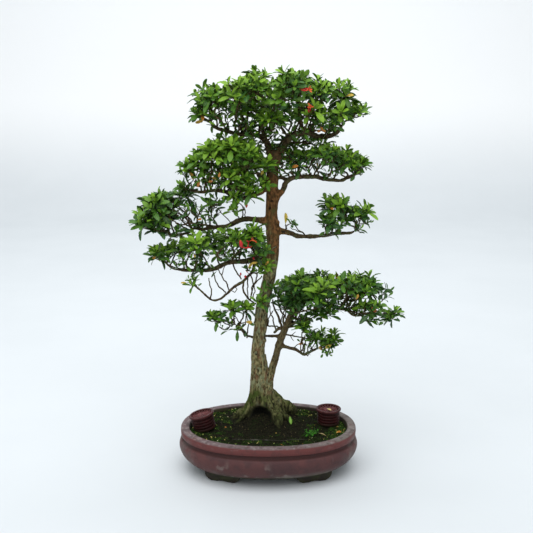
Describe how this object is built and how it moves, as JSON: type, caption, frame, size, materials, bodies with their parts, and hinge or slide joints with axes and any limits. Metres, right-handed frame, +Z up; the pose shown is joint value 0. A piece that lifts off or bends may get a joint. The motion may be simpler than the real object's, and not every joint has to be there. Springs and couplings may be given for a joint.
{
  "type": "azalea bonsai",
  "caption": "Informal upright azalea bonsai with a low second trunk and layered leaf pads, planted in a long oval footed pot with fertiliser baskets on the soil.",
  "frame": {"origin": "on the table under the middle of the pot", "axes": "+Z up the tree, +X to the right along the pot's long side as seen from the front, -Y towards the front"},
  "size_m": [0.4271, 0.205, 0.6331],
  "materials": {
    "back_low_leaves": "fresh glossy leaf",
    "back_upper_leaves": "fresh glossy leaf",
    "basket_left": "moulded, dull",
    "basket_right": "moulded, dull",
    "big_right_leaves": "fresh glossy leaf",
    "bloom_crown_lower": "soft petal",
    "bloom_crown_upper": "soft petal",
    "bloom_left": "soft petal",
    "crown_leaves": "fresh glossy leaf",
    "drain_mesh_left": "moulded, dull",
    "drain_mesh_right": "moulded, dull",
    "fallen_leaf_green": "fresh leaf",
    "fallen_leaf_orange": "dry leaf",
    "fallen_leaf_tan": "dry leaf",
    "fallen_leaf_yellow": "dry leaf",
    "fertiliser_left": "crumbly pellets",
    "fertiliser_right": "crumbly pellets",
    "hanging_spray": "fresh glossy leaf",
    "inner_left_spray": "fresh glossy leaf",
    "inner_right_spray": "fresh glossy leaf",
    "low_left_leaves": "fresh glossy leaf",
    "lowest_left_leaves": "fresh glossy leaf",
    "lowest_right_leaves": "fresh glossy leaf",
    "middle_left_leaves": "fresh glossy leaf",
    "middle_left_spray": "fresh glossy leaf",
    "middle_right_leaves": "fresh glossy leaf",
    "pot": "unglazed fired clay, dull, with pale bloom",
    "soil": "damp granular soil with moss",
    "tie_wire": "dull drawn wire",
    "trunk_spray_lower": "fresh glossy leaf",
    "trunk_spray_upper": "fresh glossy leaf",
    "upper_left_leaves": "fresh glossy leaf",
    "upper_right_leaves": "fresh glossy leaf",
    "weed": "fresh leaf",
    "wood": "bark, rough, mossy at the base"
  },
  "bodies": {
    "root": {"back_low_leaves": "back_low_leaves", "back_upper_leaves": "back_upper_leaves", "basket_left": "basket_left", "basket_right": "basket_right", "big_right_leaves": "big_right_leaves", "bloom_crown_lower": "bloom_crown_lower", "bloom_crown_upper": "bloom_crown_upper", "bloom_left": "bloom_left", "crown_leaves": "crown_leaves", "drain_mesh_left": "drain_mesh_left", "drain_mesh_right": "drain_mesh_right", "fallen_leaf_green": "fallen_leaf_green", "fallen_leaf_orange": "fallen_leaf_orange", "fallen_leaf_tan": "fallen_leaf_tan", "fallen_leaf_yellow": "fallen_leaf_yellow", "fertiliser_left": "fertiliser_left", "fertiliser_right": "fertiliser_right", "hanging_spray": "hanging_spray", "inner_left_spray": "inner_left_spray", "inner_right_spray": "inner_right_spray", "low_left_leaves": "low_left_leaves", "lowest_left_leaves": "lowest_left_leaves", "lowest_right_leaves": "lowest_right_leaves", "middle_left_leaves": "middle_left_leaves", "middle_left_spray": "middle_left_spray", "middle_right_leaves": "middle_right_leaves", "pot": "pot", "soil": "soil", "tie_wire": "tie_wire", "trunk_spray_lower": "trunk_spray_lower", "trunk_spray_upper": "trunk_spray_upper", "upper_left_leaves": "upper_left_leaves", "upper_right_leaves": "upper_right_leaves", "weed": "weed", "wood": "wood"}
  },
  "joints": []
}
